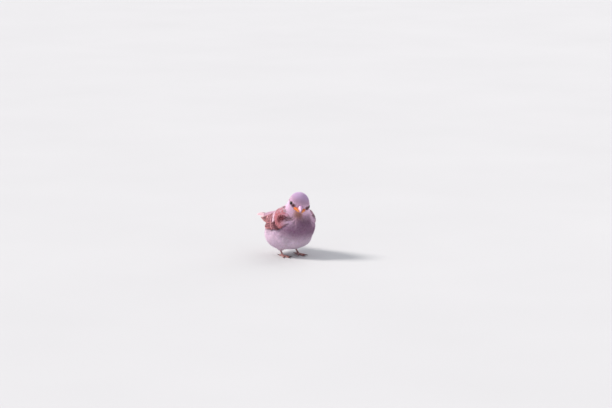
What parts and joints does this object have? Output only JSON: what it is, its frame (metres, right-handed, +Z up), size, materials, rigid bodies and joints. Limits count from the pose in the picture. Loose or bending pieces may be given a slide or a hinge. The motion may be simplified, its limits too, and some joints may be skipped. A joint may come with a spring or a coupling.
{
  "type": "fledgling house sparrow, still model",
  "caption": "Life-size fledgling house sparrow with fluffed plumage, crouching on both feet, head turned to its right and tilted.",
  "frame": {"origin": "on the floor, under the middle of the bird's box", "axes": "+Z up, -Y the way the body faces, +X the bird's left side"},
  "size_m": [0.061, 0.1114, 0.087],
  "materials": {
    "head_plumage": "soft short feathers",
    "body_plumage": "loose fluffed feathers",
    "wing_feathers": "firm overlapping vanes",
    "tail_feathers": "firm overlapping vanes",
    "bill_horn": "satin horn",
    "gape_skin": "soft waxy skin",
    "eye": "wet gloss",
    "leg_scales": "fine scales",
    "claw_horn": "satin horn"
  },
  "bodies": {
    "root": {"bill_lower": "bill_horn", "bill_upper": "bill_horn", "claw_left_hind": "claw_horn", "claw_left_inner": "claw_horn", "claw_left_middle": "claw_horn", "claw_left_outer": "claw_horn", "claw_right_hind": "claw_horn", "claw_right_inner": "claw_horn", "claw_right_middle": "claw_horn", "claw_right_outer": "claw_horn", "eye_left": "eye", "eye_right": "eye", "foot_pad_left": "leg_scales", "foot_pad_right": "leg_scales", "gape_left": "gape_skin", "gape_right": "gape_skin", "head": "head_plumage", "neck": "body_plumage", "shank_left": "leg_scales", "shank_right": "leg_scales", "tail": "tail_feathers", "thigh_left": "body_plumage", "thigh_right": "body_plumage", "toe_left_hind": "leg_scales", "toe_left_inner": "leg_scales", "toe_left_middle": "leg_scales", "toe_left_outer": "leg_scales", "toe_right_hind": "leg_scales", "toe_right_inner": "leg_scales", "toe_right_middle": "leg_scales", "toe_right_outer": "leg_scales", "trunk": "body_plumage", "wing_left": "wing_feathers", "wing_left_tip": "wing_feathers", "wing_right": "wing_feathers", "wing_right_tip": "wing_feathers"}
  },
  "joints": []
}
